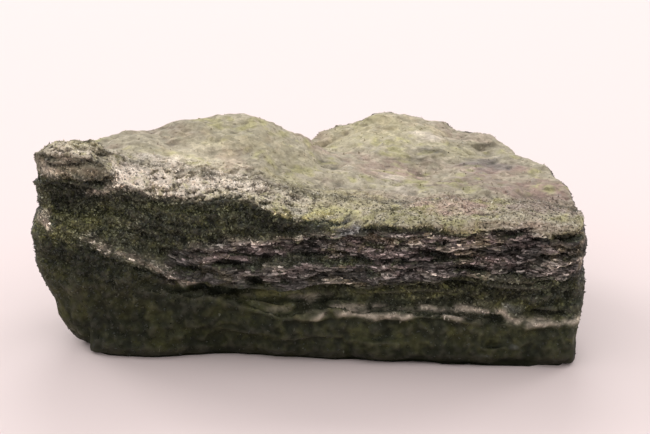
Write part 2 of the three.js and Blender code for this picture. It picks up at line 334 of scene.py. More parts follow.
# %% Regions
class Regions:
    """How much each point belongs to each part of the surface, from 0 to 1."""

    def __init__(self, points, facing):
        x, y, z = points.T
        upward = ramp(facing[:, 2], 0.42, 0.78)
        downward = ramp(-facing[:, 2], 0.3, 0.7)
        self.wall = 1 - np.maximum(upward, downward)
        self.front = ramp(-facing[:, 1], 0.05, 0.45)
        self.end_wall = ramp(np.abs(facing[:, 0]), 0.35, 0.8)
        behind = ramp(y, -14 * MM, -8 * MM)
        self.above_ground = ramp(z, 0.2 * MM, 2.2 * MM) * (1 - downward)

        # Near the front edge the top begins at the brow, and at its right end on any slope.
        above_brow = ramp(z - line(BROW, x), -0.7 * MM, -0.1 * MM)
        behind_brow = ramp(y, -13 * MM, -10 * MM)
        far_top = upward * behind_brow * ramp(z, 8 * MM, 11 * MM)
        right_end = ramp(x, 10 * MM, 15 * MM) * (1 - downward)
        level = np.maximum(ramp(facing[:, 2], 0.12, 0.5), right_end)
        near_top = level * above_brow * (1 - behind_brow)
        self.top = np.maximum(far_top, near_top)

        # The knob, and the places where the drawn lines count.
        corner = (1 - ramp(x, -23.5 * MM, -22 * MM)) * (1 - ramp(y, -9 * MM, -5 * MM))
        corner *= ramp(z, 21.4 * MM, 23.2 * MM)
        self.knob = corner * (1 - self.top)
        self.lined = np.maximum(self.front, corner * (1 - downward))

        # Thin sheets: the stack on the front, and the beds of the back and the ends.
        left = 1 - ramp(x, -18 * MM, -15.5 * MM)
        over_stack = ramp(z - line(STACK_TOP, x), -0.3 * MM, 0.3 * MM) * (1 - ramp(x, 2 * MM, 6 * MM))
        above_foot = z - line(STACK_FOOT, x)
        in_stack = ramp(above_foot, -0.5 * MM, 0.3 * MM) * (1 - over_stack) * (1 - left)
        under_brow = ramp(z - line(BROW, x), -1.6 * MM, -1.0 * MM) * (1 - ramp(x, 17 * MM, 20 * MM))
        on_front = in_stack * (1 - behind) * (1 - under_brow)
        beds = ramp(bed_height(points), 7 * MM, 9 * MM)
        self.sheeted = self.wall * np.maximum(on_front, 0.7 * behind * beds) * (1 - self.top)

        # The rest of the front: the set-back face, the recess under the knob, the worn low parts.
        self.set_back = self.front * (1 - behind) * (1 - in_stack) * (1 - self.top) * (1 - self.knob)
        self.set_back *= ramp(above_foot, 0, 1.5 * MM)
        recess = ramp(z, 16.4 * MM, 17.6 * MM) * (1 - ramp(z, 20.6 * MM, 22.6 * MM))
        self.recess = recess * self.front * (1 - ramp(x, -24.5 * MM, -22.5 * MM))
        low = 1 - ramp(z - line(LOW_RIDGE, x), -0.6 * MM, 0.2 * MM)
        self.low_block = low * (1 - behind) * self.wall
        low_left = left * (1 - ramp(z - line(BENCH, x), -1.5 * MM, 0))
        self.low_left = low_left * self.wall * (1 - behind)

        # How crisp the breaks are. The right half is crisp further down than the left.
        turned_away = np.maximum(ramp(facing[:, 1], -0.1, 0.4), ramp(np.abs(facing[:, 0]), 0.5, 0.9))
        self.back_walls = self.wall * behind * turned_away
        near_front = np.maximum(1 - ramp(y, -14 * MM, -7 * MM), self.back_walls)
        right_half = ramp(x, -6 * MM, 16 * MM)
        worn_below = 5 * MM - 2.5 * MM * right_half
        crisp_above = 17 * MM - 6.5 * MM * right_half
        self.crisp = near_front * ramp((z - worn_below) / (crisp_above - worn_below), 0, 1)
        self.crisp *= 1 - 0.5 * self.low_block
        self.worn_edge = self.top * self.crisp * (1 - ramp(x, -8 * MM, 6 * MM))


regions = Regions(skin.points, facing)
for name in ("top", "sheeted", "set_back", "low_block", "knob"):
    print(name + ":", round(float(getattr(regions, name).mean()), 3), "of the points")

# %% [markdown]
# ### Relief
#
# All roughness is one height, added up from parts and pushed along the broad direction of the
# surface. That keeps it geometry: it shows in the outline and casts its own small shadows, which
# a bump map can't do. Displace modifiers could do it too, one for each part, but they can't be
# told so finely where to work. Each part has its rise, its size and the regions where it counts.

# %% Kinds of roughness
def crumbs(points, size, seed=0):
    """From 0 in the gaps to 1 on top: rounded grains packed side by side."""
    shift = np.array([5.1, 2.9, 7.7]) * seed
    near = np.array([noise.voronoi(p)[0][0] for p in points / size + shift])
    return 1 - np.clip(near / 0.75, 0, 1) ** 1.5


def terraces(points, rise):
    """Height error of a surface that goes up in steps of that rise."""
    level = points[:, 2] / rise + 0.5 * lumps(points, 3 * MM, seed=41, octaves=2)
    part = level - np.floor(level)
    return (ramp(part, 0.35, 0.65) - part) * rise


def holes(points):
    """From 0 to 1 in the small holes of the worn front edge, which are long down the slope.

    One pale spot beside the knob has no holes.
    """
    across = points[:, 0] * 0.52 + points[:, 1] * 0.19
    down = points[:, 1] * 0.94 - points[:, 0] * 0.34
    stretched = np.column_stack([across, down, points[:, 2]])
    away = np.hypot(points[:, 0] / MM + 20.8, points[:, 1] / MM + 14)
    return ramp(lumps(stretched, 0.75 * MM, seed=61, octaves=3), 0.25, 0.7) * ramp(away, 1.2, 2.6)


def most(*masks):
    """The highest of the masks at each point."""
    return np.maximum.reduce(masks)


# %% Relief of each region
RECESS_DEPTH = 0.9 * MM
HOLE_DEPTH = 0.8 * MM
KNOB_SHEETS = (0.8 * MM, 9 * MM, 3)  # thickness, run and seed

points = skin.points
x, y, z = points.T
sheeted = regions.sheeted
plain = 1 - most(regions.top, regions.low_block, 0.8 * regions.low_left)
worn_low = most(regions.low_left, regions.low_block)

# Lumps of three sizes.
relief = (0.20 + 0.14 * plain) * MM * lumps(points, 4.5 * MM, seed=1, octaves=2)
relief += (0.12 + 0.10 * plain) * MM * lumps(points, 1.8 * MM, seed=4, octaves=2)
relief += 0.20 * MM * worn_low * lumps(points, 1.2 * MM, seed=7, octaves=2)

# Thick and thin sheets in the stack, less of them behind, then those of the knob and the wall.
broken_off = sheeted * (1 - 0.55 * ramp(y, -4 * MM, 6 * MM))
relief += broken_off * 1.15 * MM * (sheets(points, 1.2 * MM, 6 * MM, 11) - 0.45)
relief += broken_off * 0.60 * MM * (sheets(points, 0.5 * MM, 2.6 * MM, 23) - 0.4)
relief += regions.knob * 0.62 * MM * (sheets(points, *KNOB_SHEETS) - 0.4)
mid = regions.wall * (1 - sheeted) * (1 - regions.low_block) * (1 - regions.knob)
mid *= 1 - 0.9 * regions.low_left
relief += mid * 0.45 * MM * (sheets(points, 1.5 * MM, 6 * MM, 31) - 0.4)

# Grains of two sizes, on the crisp breaks more than on the sheets and the top.
grainy = (1 - 0.7 * most(sheeted, regions.knob)) * (1 - 0.65 * regions.top)
grainy *= 0.25 + 0.75 * regions.crisp
relief += grainy * 0.27 * MM * (crumbs(points, 1.0 * MM, 1) - 0.4)
relief += grainy * 0.17 * MM * (crumbs(points, 0.55 * MM, 2) - 0.4)

# Terraces on the top, highest towards its right front corner.
stepped = regions.top * ramp(x - 0.6 * y, 8 * MM, 24 * MM)
relief += (0.2 + 0.3 * stepped) * regions.top * terraces(points, 0.55 * MM)

# Pits everywhere, the recess under the knob, and holes in the worn edge of the top.
pits = ramp(lumps(points, 3.2 * MM, seed=9, octaves=2), 0.55, 1.0)
relief -= (0.10 + 0.45 * plain) * MM * pits
relief -= RECESS_DEPTH * regions.recess
relief -= HOLE_DEPTH * regions.worn_edge * holes(points)

# %% [markdown]
# ### Ledges and pockets
#
# A few breaks are big enough to know the stone by. A ledge runs along each drawn line: its edge
# stands out and a dark slot runs under it. Pockets are short gaps between sheets, where a piece
# has dropped out, and swells are rounded ends of beds that stand out. Noise bends the lines and
# frays the ovals, so that none of them looks ruled.

# %% Ledges
def along(start, end):
    """1 between those places along the stone, in millimetres, and 0 beyond them."""
    return ramp(x, start * MM, (start + 2) * MM) * (1 - ramp(x, (end - 2) * MM, end * MM))


def bends():
    """How far each drawn line strays up or down at each point."""
    return 0.3 * MM * lumps(points, 2.5 * MM, seed=17)


def ledge(stops, start, end, out, cut, reach=0.5 * MM):
    """Relief of a ledge along a drawn line: its edge stands out over a dark slot."""
    over = z - line(stops, x) + strays
    edge = np.exp(-((over / reach) ** 2))
    slot = np.exp(-(((over + 1.9 * reach) / reach) ** 2))
    return regions.lined * along(start, end) * uneven * (out * edge - cut * slot)


strays = bends()
uneven = 0.6 + 0.4 * np.clip(lumps(points, 3 * MM, seed=19), -1, 1)
for stops in KNOB_LINES:
    relief += ledge(stops, -33, -22, 0.2 * MM, 0.9 * MM, 0.28 * MM)
relief += ledge(BENCH, -30, -14, 0.5 * MM, 0.7 * MM)
relief += ledge(STACK_TOP, -17, 5, 0.5 * MM, 0.3 * MM)
relief += ledge(STACK_FOOT, -17, 34, 0.45 * MM, 0.9 * MM)
relief += ledge(PALE_LEDGE, 15, 34, 0.35 * MM, 0.5 * MM)
relief += ledge(LOW_RIDGE, -11, 34, 0.6 * MM, 0.4 * MM)

# %% Pockets
# (x, height, half width, half height, depth) in millimetres.
POCKETS = [
    (-22.8, 21.9, 0.9, 0.5, 0.9), (-14.2, 11.6, 2.0, 0.5, 1.1), (-9.5, 12.6, 1.9, 0.35, 0.8),
    (-0.2, 13.9, 2.6, 0.6, 1.2), (-6.5, 11.6, 2.4, 0.4, 0.9), (8.2, 12.4, 2.0, 0.6, 1.2),
    (15, 13.8, 2.0, 0.45, 1.1), (23.4, 16.5, 2.6, 0.4, 1.0), (30, 16.1, 2.2, 0.5, 1.1),
    (26.5, 13.9, 4.4, 0.35, 1.0), (28.2, 6.6, 2.0, 0.45, 0.9), (-9.5, 8.4, 2.4, 0.6, 0.8),
    (19, 12.2, 2.4, 0.35, 0.8), (5.5, 15.2, 1.8, 0.3, 0.7),
]
# (x, height, half width, half height, how far it swells out) in millimetres.
SWELLS = [(-3.4, 6.4, 2.4, 0.7, 0.5), (1, 6, 2, 0.5, 0.4), (4.8, 6.8, 2, 0.8, 0.5)]


def frays():
    """Noise that makes the rims of the ovals on the front uneven."""
    return lumps(points, 1.3 * MM, seed=43)


def oval(place_x, place_z, half_x, half_z, rough=0.3):
    """From 0 to 1 inside a rough oval on the front. Sizes in millimetres."""
    away = np.hypot((x / MM - place_x) / half_x, (z / MM - place_z) / half_z)
    return regions.front * (1 - ramp(away + rough * frayed, 0.45, 1.2))


frayed = frays()
for place_x, place_z, half_x, half_z, depth in POCKETS:
    relief -= depth * MM * oval(place_x, place_z, half_x, half_z)
for place_x, place_z, half_x, half_z, height in SWELLS:
    relief += height * MM * oval(place_x, place_z, half_x, half_z)

# %% [markdown]
# ### Moving the skin
#
# The relief is calmer on the two ends and dies out at the ground, so that the stone keeps its size
# and still lies flat. The left end is shaved a little, low down. Then the foot of the wall is cut
# in all round the sides: that gives the thin dark gap under a stone that lies on a table.

# %% Move the points
LEFT_SHAVE = 0.7 * MM
SHAVE_HEIGHT = 5 * MM
SHAVE_REACH = 2.6 * MM
FOOT_HEIGHT = 1.6 * MM
FOOT_CUT = 0.9 * MM

relief *= regions.above_ground * (1 - 0.8 * regions.end_wall)
left_end = ramp(-facing[:, 0], 0.3, 0.8)
relief -= LEFT_SHAVE * left_end * np.exp(-(((z - SHAVE_HEIGHT) / SHAVE_REACH) ** 2))
sideways = unit(facing * (1, 1, 0)) * ramp(np.hypot(facing[:, 0], facing[:, 1]), 0.1, 0.3)[:, None]
foot_cut = FOOT_CUT * (1 - ramp(z, 0, FOOT_HEIGHT)) * (1 - regions.end_wall)
skin.points = points + facing * relief[:, None] - sideways * foot_cut[:, None]
skin.points[:, 2] = np.maximum(skin.points[:, 2], 0)
skin.write()
print("relief:", round(relief.min() / MM, 2), "to", round(relief.max() / MM, 2), "mm")

# %% [markdown]
# ### Fewer faces where the surface is plain
#
# The even mesh spends as many squares on the flat underside as on the sheets. Decimate merges
# faces where little is lost, so that the same shape fits in far fewer triangles.

# %% Decimate
FACES = 190_000

stone.data.calc_loop_triangles()
decimate = stone.modifiers.new("fewer faces", "DECIMATE")
decimate.ratio = FACES / len(stone.data.loop_triangles)
apply_modifiers(stone)
stone.data.calc_loop_triangles()
print("stone:", len(stone.data.loop_triangles), "triangles")

# %% [markdown]
# ## Where the colours go
#
# A material can't know that a point lies in a slot or on the knob, but the mesh does. So numpy
# works out a few masks on the finished surface, and keeps them in the mesh as one number per
# point. The materials read them: how weathered, how flaky, how yellow, pink or pale each place
# is, where it is painted lighter or darker, partly as painted light and shade, and how deep it
# lies, which sets the painted shade in its hollows.
#
# The mesh has new points now, so `points`, `x`, `y`, `z`, `facing` and `regions` are worked out
# again, and the helpers above work on the new ones. On the front the surface faces as its close
# neighbours do, and further back only its broad direction counts.

# %% Masks on the finished surface
def note(mesh, name, values):
    """Keeps one number per point in the mesh, for the material to read."""
    layer = mesh.attributes.new(name, "FLOAT", "POINT")
    layer.data.foreach_set("value", np.clip(values, 0, 1).astype(np.float32))


FACING_ROUNDS = 10

skin = Skin(stone.data)
points = skin.points
x, y, z = points.T
facing = skin.smooth(skin.directions(), FACING_ROUNDS)
broad = skin.smooth(facing, BROAD_ROUNDS - FACING_ROUNDS)
facing = unit(broad + (facing - broad) * (1 - ramp(y, -14 * MM, -10 * MM))[:, None])
regions = Regions(points, facing)

# How far a point lies below its close and its wide surroundings. Below 0 it stands out of them.
near = np.einsum("ij,ij->i", skin.smooth(points, CLOSE_ROUNDS) - points, facing)
wide = np.einsum("ij,ij->i", skin.smooth(points, BROAD_ROUNDS) - points, facing)
# Painted shade: how strongly each hollow is darkened, from how deep it lies.
hollow_shade = ramp(near, 0, 0.10 * MM) * 0.45 + ramp(wide, 0.02 * MM, 0.35 * MM) * 0.65
edge = ramp(-near, 0.01 * MM, 0.10 * MM) * 0.6 + ramp(-wide, 0.05 * MM, 0.3 * MM) * 0.5

strays = bends()
frayed = frays()
frayed_wide = lumps(points, 2 * MM, seed=29, octaves=2)
unbroken = ramp(lumps(points, 1.6 * MM, seed=37, octaves=2), -1.1, 0.0)
print("points now:", len(points))


def streak(stops, start, end, width):
    """From 0 to 1 along a drawn line on the front."""
    over = (z - line(stops, x) + strays) / width
    return regions.lined * along(start, end) * unbroken * np.exp(-(over**2))


def blot(place_x, place_y, half_x, half_y):
    """From 0 to 1 inside a rough oval patch on the top. Sizes in millimetres."""
    away = np.hypot((x / MM - place_x) / half_x, (y / MM - place_y) / half_y)
    return regions.top * (1 - ramp(away + 0.35 * frayed_wide, 0.45, 1.3))


# %% [markdown]
# ### Patches and streaks
#
# On the real stone the colours lie in patches: olive where grains of peridot crowd together, pink
# and grey where iron has stained the top, pale where it is worn. The light and shade patches are
# partly painted light and painted shade, lit ledges and shaded hollows, and partly the stone's own
# lighter and darker places. The larger patches are placed one by one, as a painter would block them
# in: a list of ovals for each mask. Streaks do the same along the drawn lines. Noise alone would
# give the right mixture of colours, but never this stone.

# %% Patches on the top
# For each mask: (x, y, half width, half depth, strength), sizes in millimetres.
TOP_PATCHES = {
    "olive": [
        (-26.5, -12, 4, 3, 0.5), (-22, -12.1, 1.2, 0.8, 1), (-17.5, -8, 4, 2, 0.3), (-7, -2, 9, 5, 0.25),
        (-6, -13, 2.6, 1.4, 0.6), (-3, -9, 3, 2, 0.4), (1, -14.5, 4, 1.6, 0.8), (5, -10.4, 5, 2.6, 0.5),
        (8, 14, 8, 5.5, 0.4), (16.5, -17, 2, 0.8, 0.6), (19, 9, 4, 4, 0.4), (22.9, -10.9, 1.4, 1.2, 0.8),
    ],
    "pink": [
        (1, 5, 3, 3, 0.6), (10, 1, 5, 4, 0.8), (17, -13, 6, 4, 0.9), (20, -4, 7, 4, 0.5),
        (23, 2.5, 5, 4, 1), (27, -6, 6, 4.5, 1), (28, -13, 5, 4, 0.8),
    ],
    "pale": [
        (-27, -14.5, 4, 2, 0.3), (-20.8, -14, 2.6, 2, 1), (-17, -10.5, 6, 2.2, 0.7),
        (-16, -13, 6, 2.8, 0.95), (-9, -12.5, 6, 2.6, 0.9), (-2, -14, 4, 1.8, 0.5),
        (10.4, -1.7, 1.4, 1.2, 0.6), (12, -7.8, 2, 1.2, 0.4), (14.9, 12.3, 2.2, 1.4, 0.6),
        (28, -14.5, 5, 2.4, 0.3),
    ],
    "grey": [
        (-19.5, -11.5, 1.8, 1.2, 0.5), (-1, -15.5, 1.6, 1, 0.7), (22.3, 4.4, 3.6, 3.4, 0.6),
    ],
    "light": [
        (-27, -14, 4, 3, 0.8), (-13, -13, 9, 2.6, 0.5), (-12, -8, 5, 4, 1), (4, -15, 5, 2.4, 0.5),
        (9, 13, 9, 6, 0.55), (14.5, -13.5, 5, 3, 0.6),
    ],
    "shade": [
        (-22, -12.1, 1, 0.6, 0.6), (-17, 0, 4, 2, 0.2), (15.4, 7.6, 1.9, 1.3, 0.7), (21, -5, 8, 5, 0.28),
        (22.3, 4.4, 3.4, 3, 0.4), (27, -3, 5, 1.2, 0.25), (28, -11, 5, 7, 0.42),
    ],
}

# %% Patches on the front
# For each mask: (x, height, half width, half height, strength), sizes in millimetres.
# The light and shade lists are partly painted light and painted shade: the lit left end, lit ledges, shade
# under ledges and towards the foot. The rest is the stone's own lighter and darker colour.
FRONT_PATCHES = {
    "olive": [
        (-32, 13, 1.8, 9, 0.9), (-28.6, 16.2, 4.8, 2.2, 1), (-26.7, 4.6, 1.6, 1.2, 0.7),
        (-26.5, 23.2, 4.5, 1, 0.15), (-24.6, 16.8, 3.4, 1.6, 0.7), (-18.8, 9.8, 1.7, 1, 1),
        (-17.4, 4.8, 1.6, 0.5, 1), (-16.3, 18, 3.2, 0.9, 1), (-15.2, 3.4, 1.8, 1.2, 0.9),
        (-10.9, 6.1, 1.2, 1, 1), (-9.1, 4.8, 1.3, 0.6, 1), (-4, 15.4, 5, 0.8, 0.9), (-3.5, 8, 4, 1, 0.8),
        (-3.4, 6.5, 2.4, 0.6, 0.6), (13, 9, 9, 1.3, 0.9), (20, 9, 5, 1, 0.8), (23, 7, 1.6, 0.9, 0.9),
        (24.5, 7.2, 3, 1, 0.9),
    ],
    "pink": [
        (-27, 7.5, 2.4, 1.6, 0.6), (-21.5, 8.5, 3.6, 1.6, 0.6), (-6, 13.5, 9, 1.6, 0.6),
        (16, 14, 14, 2.4, 0.7), (22, 15.5, 5, 0.6, 0.8),
    ],
    "pale": [
        (-30.9, 16.7, 1, 0.7, 0.5), (-30.6, 16.2, 0.7, 0.8, 0.8), (-30, 22.8, 1.6, 0.8, 0.5),
        (-27, 25.6, 4, 0.5, 0.5), (-25, 19.6, 1.6, 0.9, 0.7), (-22.4, 21, 1.4, 0.7, 0.4),
        (-21, 21.4, 2, 0.6, 0.7), (-13.3, 9, 1.6, 0.5, 0.7), (-3.7, 6.3, 1.6, 0.4, 0.2),
        (-3.7, 12.1, 1.6, 0.4, 0.6), (-0.3, 7.6, 2.6, 0.5, 0.3), (2, 10.1, 2.2, 0.35, 0.6),
        (3.2, 10.3, 1.6, 0.35, 0.6), (5.2, 6.8, 1.4, 0.4, 0.4), (8, 5.9, 1.6, 0.3, 0.4),
        (12.6, 15, 1.6, 0.35, 0.6), (14.2, 11.5, 1.8, 0.4, 0.9), (18, 14.8, 2.4, 0.4, 0.7),
        (23.6, 17.3, 2.6, 0.35, 0.5), (28, 17.3, 2.6, 0.8, 0.3),
    ],
    "grey": [
        (5.3, 16.3, 1.7, 1, 1), (20.8, 1.6, 0.9, 0.2, 0.5), (24, 2.6, 0.7, 0.3, 0.6),
        (24, 7, 1.2, 0.8, 0.5),
    ],
    "light": [
        (-32, 13, 1.6, 9, 0.7), (-30.6, 16.4, 1.6, 1.4, 1), (-29.4, 22.8, 1.4, 0.6, 0.8),
        (-28.3, 8.5, 2.8, 3.6, 0.8), (-28, 23, 3, 0.6, 0.6), (-27.6, 16, 4.6, 2.2, 1),
        (-27, 5.6, 2, 1.4, 0.7), (-27, 14.5, 3, 1.2, 0.7), (-26.7, 4.6, 1.2, 0.8, 0.4),
        (-26.5, 23.2, 4.5, 0.5, 0.3), (-25, 19.6, 1.6, 0.9, 0.7), (-23.6, 16.6, 4, 2, 0.8),
        (-23.6, 20.2, 1.6, 1.2, 0.6), (-22.6, 20.8, 1.6, 0.9, 0.9), (-22.4, 14.8, 2.6, 1, 0.8),
        (-21.5, 21.5, 2.4, 0.7, 0.8), (-20, 18.6, 3, 1.2, 0.5), (-18.8, 9.8, 1.3, 0.7, 0.4),
        (-17.4, 4.8, 1.4, 0.4, 0.2), (-16.3, 18, 2.2, 0.6, 0.3), (-15.2, 3.4, 1.6, 1, 0.3),
        (-14.4, 8.9, 2.2, 0.6, 0.9), (-14.2, 9.5, 2.2, 0.7, 0.7), (-10.9, 6.1, 1, 0.9, 0.5),
        (-9.1, 4.8, 1.1, 0.5, 0.7), (-6, 13.9, 3, 0.6, 0.9), (-6, 14.2, 1.6, 0.4, 0.7),
        (-6, 14.6, 2.4, 0.6, 0.9), (-5.5, 6.2, 2.4, 1.2, 0.6), (-4.5, 14.2, 2, 0.5, 0.5),
        (-4, 14, 4.5, 0.9, 0.7), (-3.7, 12.2, 1.6, 0.5, 0.7), (-3.5, 8, 3.6, 0.8, 0.8),
        (-3.5, 15.2, 3.5, 0.4, 0.6), (-3.4, 6.5, 2.2, 0.5, 0.9), (-3, 11.9, 3, 0.6, 1),
        (1, 6.2, 1.8, 0.4, 0.7), (1, 8, 4.5, 0.8, 0.7), (3.2, 11.9, 1.6, 0.5, 0.8),
        (3.2, 12.4, 2, 0.6, 0.7), (3.2, 16.2, 1.8, 0.6, 0.9), (4, 10.3, 3, 0.7, 0.8),
        (4.8, 6.9, 1.9, 0.6, 0.9), (5.3, 16.3, 1.3, 0.8, 0.4), (6, 8.6, 3, 0.5, 0.6),
        (6, 14.2, 6, 0.8, 0.9), (6, 15.2, 3.5, 0.7, 0.8), (8, 5.9, 2, 0.5, 0.9), (8, 8.6, 7, 0.9, 0.4),
        (10.4, 3.9, 1, 0.6, 0.9), (10.5, 15.2, 3, 0.6, 0.9), (12, 16.1, 5, 0.4, 0.6),
        (12.5, 7.7, 3, 0.5, 0.8), (12.6, 13.8, 1.6, 0.5, 0.7), (14.5, 15.4, 3, 0.6, 0.8),
        (14.8, 16.1, 1.6, 0.5, 0.7), (15, 8, 1.6, 0.5, 0.9), (17.3, 14.8, 1.6, 0.5, 0.9),
        (20, 16.6, 3, 0.4, 0.7), (20.5, 7.1, 4, 0.6, 0.9), (20.5, 15.4, 3, 0.8, 0.9),
        (21.8, 12.1, 1.6, 0.4, 0.6), (22, 12.1, 2, 0.6, 0.9), (22, 16.6, 6, 0.9, 0.5),
        (23, 7, 1.4, 0.7, 0.9), (23.5, 7.4, 3, 0.7, 0.5), (24, 10.9, 2, 0.5, 0.7),
        (24.3, 14.9, 2, 0.5, 0.6), (27, 10.6, 4, 0.6, 0.5), (29, 13.3, 2.2, 0.5, 0.9),
        (29, 15, 2.4, 0.6, 0.7),
    ],
    "shade": [
        (-31.2, 24.4, 0.8, 0.5, 0.9), (-27, 19.6, 3, 2, 0.6), (-24, 17.4, 3, 0.5, 0.5),
        (-20.5, 10.4, 3.5, 0.9, 0.7), (-19.6, 4.2, 2.4, 2.8, 1), (-12.5, 1.8, 4.5, 1.3, 0.7),
        (-12, 2, 5, 1.4, 1), (-12, 2.4, 4, 1.6, 1), (-8.6, 12, 1.4, 0.5, 0.9), (-8, 8.8, 3.4, 0.5, 0.8),
        (-7, 9.3, 4.5, 0.7, 0.9), (-1.5, 16, 4, 0.8, 0.8), (12, 17.1, 4.5, 0.4, 0.7),
        (22, 5.6, 1.2, 0.3, 0.9), (23, 16.5, 3.4, 0.3, 0.8), (27.4, 6.9, 1.6, 0.5, 0.9),
        (29, 15.6, 3, 0.5, 0.7), (30.5, 14.8, 2.4, 0.4, 0.8),
    ],
}


# %% Streaks along the ledges
def moved(stops, rise):
    """A drawn line, moved up by that many millimetres, or down when negative."""
    return [(across, up + rise) for across, up in stops]


# (mask, drawn line, start, end, half width, strength), sizes in millimetres.
# Light streaks are partly painted highlight on the ledge tops, and shade streaks partly painted shade in the
# slots under them.
STREAKS = [
    ("light", BENCH, -31, -14, 1.3, 0.85), ("pale", BENCH, -27, -14, 0.55, 0.55),
    ("light", STACK_TOP, -10, 3, 0.5, 0.6), ("pale", STACK_TOP, -15, 3, 0.4, 0.5),
    ("light", LOW_RIDGE, -8, 34, 0.6, 0.9), ("pale", LOW_RIDGE, 0, 34, 0.32, 0.8),
    ("light", KHAKI_BED, 2, 14.5, 0.55, 1.0), ("olive", KHAKI_BED, 4, 14.5, 0.5, 0.8),
    ("pale", PALE_LEDGE, 24.5, 34, 0.4, 0.8), ("shade", moved(PALE_LEDGE, 0.75), 21, 34, 0.2, 0.9),
    ("shade", moved(BROW, -0.7), 19, 34, 0.3, 1.0),
    ("shade", moved(KNOB_LINES[0], -0.4), -32, -22.5, 0.4, 1.0),
    ("shade", moved(KNOB_LINES[1], -0.4), -32, -22.5, 0.4, 1.0),
]

# %% Paint the patches
drift = lumps(points, 6.5 * MM, seed=51, octaves=2)
spots = lumps(points, 1.3 * MM, seed=53, octaves=2)
stains = lumps(points * (1, 1, 0.5), 2.6 * MM, seed=57, octaves=2)
dapple = lumps(points, 1.1 * MM, seed=59, octaves=2)

patches = {name: np.zeros(len(points)) for name in ("olive", "pink", "pale", "grey", "light", "shade")}


def paint(name, *layers):
    """Lays masks over that patch mask. The strongest counts at each point."""
    patches[name] = most(patches[name], *layers)


# Broad drifts of olive and pink, stains on the low block, and dapples on the worn front.
mottle = most(regions.low_left, regions.low_block, 0.8 * regions.set_back) * ramp(dapple, 0.0, 0.8)
stained = (0.35 - 0.2 * ramp(x, 2 * MM, 10 * MM)) * regions.low_block
patches["olive"] += 0.7 * ramp(drift + 0.8 * spots, 0.2, 1.0)
patches["pink"] += 0.6 * ramp(-drift + 0.7 * spots, 0.2, 1.0)
patches["light"] += stained * ramp(stains, 0.1, 1.0)
patches["light"] += 0.45 * mottle
patches["shade"] += 0.6 * regions.set_back * ramp(-dapple, 0.2, 0.9)
paint("olive", regions.low_block * ramp(stains, -0.3, 0.8), 0.7 * mottle)

for name, places in TOP_PATCHES.items():
    for *place, strength in places:
        paint(name, strength * blot(*place))
for name, places in FRONT_PATCHES.items():
    for *place, strength in places:
        paint(name, strength * oval(*place, rough=0.5))
for name, stops, start, end, width, strength in STREAKS:
    paint(name, strength * streak(stops, start, end, width * MM))

# %% [markdown]
# ### Bands, the edge of the top, dark places
#
# The sheets differ in colour as well as in height, so noise drawn out along the beds paints them
# in thin light and dark bands. The edge of the top is rubbed pale on the left and stays olive
# further on. Shade goes where light hardly reaches: the worn low parts, the recess, the foot.

# %% Bands and clouds
BAND = 0.75 * MM
BAND_RUN = 5 * MM

side = 1 - regions.top
level = bed_height(points) / BAND
bands = lumps(np.column_stack([x / BAND_RUN, y / BAND_RUN, level * 0.9]), 1, seed=71, octaves=2)
banded = regions.sheeted + 0.5 * regions.knob
strong = 0.8 + 0.2 * ramp(x, 4 * MM, 14 * MM)
dark_bands = 0.85 * strong * banded * ramp(-bands, 0.05, 0.6) * (1 - 0.8 * patches["light"])
clouds = lumps(points, 2.2 * MM, seed=73, octaves=2)
paint("light", banded * strong * ramp(bands, 0.15, 0.8), 0.35 * side * ramp(clouds, 0.3, 1.1))

# %% Edge of the top
over_brow = z - line(BROW, x)

rim = np.exp(-(((over_brow - 0.4 * MM) / (0.8 * MM)) ** 2)) * (1 - ramp(y, -14 * MM, -12 * MM))
rim *= ramp(x, -23.5 * MM, -22 * MM) * (1 - ramp(x, -8 * MM, -3 * MM)) * ramp(spots, -1.2, 0.2)
paint("pale", 0.9 * rim)
paint("light", 0.9 * rim)

right_of_rim = ramp(x, 2 * MM, 6 * MM)
lip = np.exp(-(((over_brow + 0.35 * MM) / (0.5 * MM)) ** 2)) * (1 - ramp(y, -15 * MM, -13.5 * MM))
lip *= ramp(x, -7 * MM, -4 * MM) * (1 - ramp(x, 17 * MM, 20 * MM)) * ramp(clouds + spots, -1.0, 0.2)
paint("olive", lip)
paint("light", 0.7 * lip * (1 - right_of_rim), 0.8 * lip * side)
paint("shade", 0.4 * lip * regions.top * right_of_rim)
patches["pale"] *= 1 - lip

# %% Dark places
low = most(regions.low_left, regions.low_block * (0.6 + 0.4 * (1 - ramp(x, -4 * MM, 6 * MM))))
foot = 1 - ramp(z, 1.0 * MM, 5.2 * MM)
knob_gaps = regions.knob * (1 - ramp(sheets(points, *KNOB_SHEETS), 0.1, 0.5))
# Painted shade: the low parts, the foot, the recess, the gaps between the knob's sheets and the holes of the
# worn edge. The dark bands are the beds' own darker colour.
paint("shade", 0.8 * low, 0.95 * foot * side, 0.35 * regions.recess * ramp(clouds, -0.8, 0.4))
paint("shade", dark_bands, 0.4 * knob_gaps, regions.worn_edge * holes(points))

# %% Flecks and spots
flecks = regions.top * regions.crisp * (1 - 0.7 * ramp(x, 8 * MM, 16 * MM))
flecks *= ramp(lumps(points, 0.8 * MM, seed=63, octaves=2), 0.2, 0.8)
paint("olive", 0.8 * flecks)
patches["pale"] *= 1 - 0.7 * flecks
patches["olive"] *= 0.75 + 0.25 * np.clip(spots * 2, -1, 1)
patches["pink"] *= (1 - patches["olive"]) * (0.75 + 0.25 * np.clip(-spots * 2, -1, 1))

# %% Keep them in the mesh
MASKS = {
    "top": most(regions.top, 0.6 * regions.knob),
    "sheeted": most(regions.sheeted, 0.2 * regions.knob),
    "crisp": regions.crisp,
    **patches,
}
for name, values in MASKS.items():
    note(stone.data, name, values)
